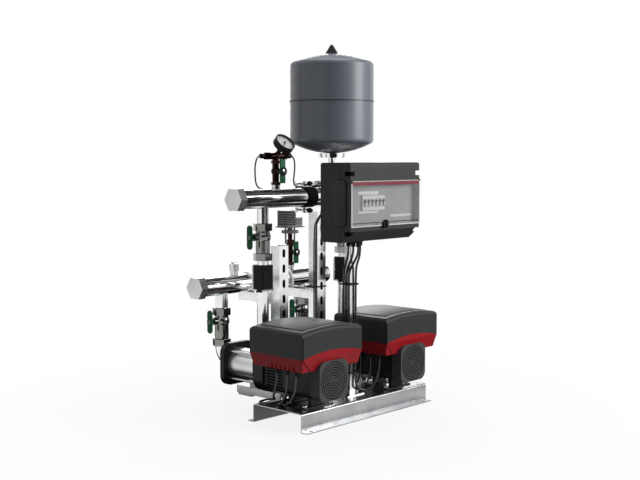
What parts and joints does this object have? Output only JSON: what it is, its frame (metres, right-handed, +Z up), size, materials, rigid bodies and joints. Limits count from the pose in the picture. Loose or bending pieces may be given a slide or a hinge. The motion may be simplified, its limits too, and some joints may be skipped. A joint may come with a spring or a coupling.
{
  "type": "booster pump set",
  "caption": "Booster set: horizontal pumps on a steel base with suction and discharge manifolds, ball and check valves, gauge, diaphragm tank and switch panel on a post.",
  "frame": {"origin": "middle of the base plate's floor bolt pattern, at floor level", "axes": "+Z up, +X along the base plate from pump 1 to pump 2 towards the open pipe ends, +Y back along the pump shafts to the manifolds"},
  "size_m": [0.646, 0.5863, 1.186],
  "materials": {
    "brushed_sheet": "bright folded sheet",
    "zinc_strut": "zinc-plated channel",
    "stainless_post": "polished square tube",
    "steel_fastener": "zinc-plated fasteners",
    "steel_core": "machined steel",
    "stainless_sleeve": "satin stainless",
    "stainless_pipe": "polished stainless",
    "nickel_brass": "nickel-plated brass",
    "black_casting": "black paint on cast iron and aluminium",
    "black_plastic": "moulded black",
    "red_plastic": "moulded dark red",
    "grey_plastic": "textured dark grey",
    "board_green": "circuit board",
    "dial_white": "printed dial",
    "clear_window": "clear smoked plastic",
    "switch_grey": "moulded grey",
    "tank_enamel": "blue-grey enamel",
    "black_rubber": "black cable sheath and rubber",
    "panel_plastic": "moulded black-grey",
    "breaker_white": "white mouldings",
    "green_lever": "green lever coating"
  },
  "bodies": {
    "frame": {"base_plate": "brushed_sheet", "rear_frame": "brushed_sheet", "short_column": "zinc_strut", "tall_column": "zinc_strut", "panel_post": "stainless_post", "pipe_clamps": "zinc_strut", "foot_bolts": "steel_fastener", "motor_housings": "black_casting", "motor_stators": "steel_core", "fan_covers": "black_plastic", "bearings_and_seals": "steel_core", "pump_heads": "black_casting", "pump_sleeves": "stainless_sleeve", "inlet_covers": "black_casting", "tie_rods": "steel_fastener", "drive_box_bases": "red_plastic", "drive_box_covers": "grey_plastic", "drive_boards": "board_green", "suction_manifold": "stainless_pipe", "discharge_manifold": "stainless_pipe", "manifold_caps": "nickel_brass", "branch_pipes": "stainless_pipe", "union_nuts": "nickel_brass", "valve_bodies": "nickel_brass", "check_valve_bodies": "black_plastic", "check_valve_straps": "steel_fastener", "sensor_fittings": "nickel_brass", "gauge_case": "black_plastic", "gauge_dial": "dial_white", "gauge_lens": "clear_window", "pressure_switch": "switch_grey", "tank_upper_shell": "tank_enamel", "tank_lower_shell": "tank_enamel", "tank_diaphragm": "black_rubber", "tank_stem": "nickel_brass", "tank_air_cap": "black_plastic", "panel_housing": "panel_plastic", "panel_cover": "panel_plastic", "breakers": "breaker_white", "cable_glands": "black_plastic", "pump_cables": "black_rubber", "sensor_leads": "black_rubber", "cable_ties": "black_plastic"},
    "pump_1_rotor": {"shaft_1": "steel_core", "fan_1": "black_plastic"},
    "pump_2_rotor": {"shaft_2": "steel_core", "fan_2": "black_plastic"},
    "suction_valve_1": {"suction_lever_1": "green_lever"},
    "suction_valve_2": {"suction_lever_2": "green_lever"},
    "discharge_valve_1": {"discharge_lever_1": "green_lever"},
    "discharge_valve_2": {"discharge_lever_2": "green_lever"},
    "gauge_valve": {"gauge_valve_lever": "green_lever"},
    "switch_valve": {"switch_valve_lever": "green_lever"},
    "gauge_pointer": {"gauge_needle": "black_plastic"},
    "window_flap": {"panel_window": "clear_window"},
    "latch": {"window_latch": "black_plastic"},
    "breaker_1": {"breaker_toggles_1": "black_plastic"},
    "breaker_2": {"breaker_toggles_2": "black_plastic"},
    "check_valve_1": {"check_disc_1": "steel_core"},
    "check_valve_2": {"check_disc_2": "steel_core"}
  },
  "joints": [
    {"name": "pump_1_spin", "type": "hinge", "parent": "frame", "child": "pump_1_rotor", "pos_m": [-0.1915, 0, 0.147], "axis": [0, 1, 0], "continuous": true},
    {"name": "suction_valve_1_turn", "type": "hinge", "parent": "frame", "child": "suction_valve_1", "pos_m": [-0.1915, 0.367, 0.276], "axis": [1, 0, 0], "range_deg": [0, 90]},
    {"name": "discharge_valve_1_turn", "type": "hinge", "parent": "frame", "child": "discharge_valve_1", "pos_m": [-0.1915, 0.1706, 0.563], "axis": [1, 0, 0], "range_deg": [0, 90]},
    {"name": "check_valve_1_lift", "type": "slide", "parent": "frame", "child": "check_valve_1", "axis": [0, 0, 1], "range_m": [0, 0.008], "stiffness_N_per_m": 60, "springref_m": -0.004},
    {"name": "breaker_1_throw", "type": "hinge", "parent": "frame", "child": "breaker_1", "pos_m": [-0.0599, -0.151, 0.675], "axis": [1, 0, 0], "range_deg": [0, 80]},
    {"name": "pump_2_spin", "type": "hinge", "parent": "frame", "child": "pump_2_rotor", "pos_m": [0.1915, 0, 0.147], "axis": [0, 1, 0], "continuous": true},
    {"name": "suction_valve_2_turn", "type": "hinge", "parent": "frame", "child": "suction_valve_2", "pos_m": [0.1915, 0.367, 0.276], "axis": [1, 0, 0], "range_deg": [0, 90]},
    {"name": "discharge_valve_2_turn", "type": "hinge", "parent": "frame", "child": "discharge_valve_2", "pos_m": [0.1915, 0.1706, 0.563], "axis": [1, 0, 0], "range_deg": [0, 90]},
    {"name": "check_valve_2_lift", "type": "slide", "parent": "frame", "child": "check_valve_2", "axis": [0, 0, 1], "range_m": [0, 0.008], "stiffness_N_per_m": 60, "springref_m": -0.004},
    {"name": "breaker_2_throw", "type": "hinge", "parent": "frame", "child": "breaker_2", "pos_m": [-0.0077, -0.151, 0.675], "axis": [1, 0, 0], "range_deg": [0, 80]},
    {"name": "gauge_valve_turn", "type": "hinge", "parent": "frame", "child": "gauge_valve", "pos_m": [-0.133, 0.1706, 0.769], "axis": [0, 1, 0], "range_deg": [0, 90]},
    {"name": "switch_valve_turn", "type": "hinge", "parent": "frame", "child": "switch_valve", "pos_m": [0.131, 0.367, 0.482], "axis": [0, 1, 0], "range_deg": [0, 90]},
    {"name": "gauge_pointer_turn", "type": "hinge", "parent": "frame", "child": "gauge_pointer", "pos_m": [-0.133, 0.13136, 0.85624], "axis": [0, 0.7071, -0.7071], "range_deg": [0, 270]},
    {"name": "window_flap_lift", "type": "hinge", "parent": "frame", "child": "window_flap", "pos_m": [0, -0.16945, 0.742], "axis": [-1, 0, 0], "range_deg": [0, 100]},
    {"name": "latch_turn", "type": "hinge", "parent": "window_flap", "child": "latch", "pos_m": [0, -0.167, 0.61], "axis": [0, 1, 0], "range_deg": [0, 90]}
  ]
}
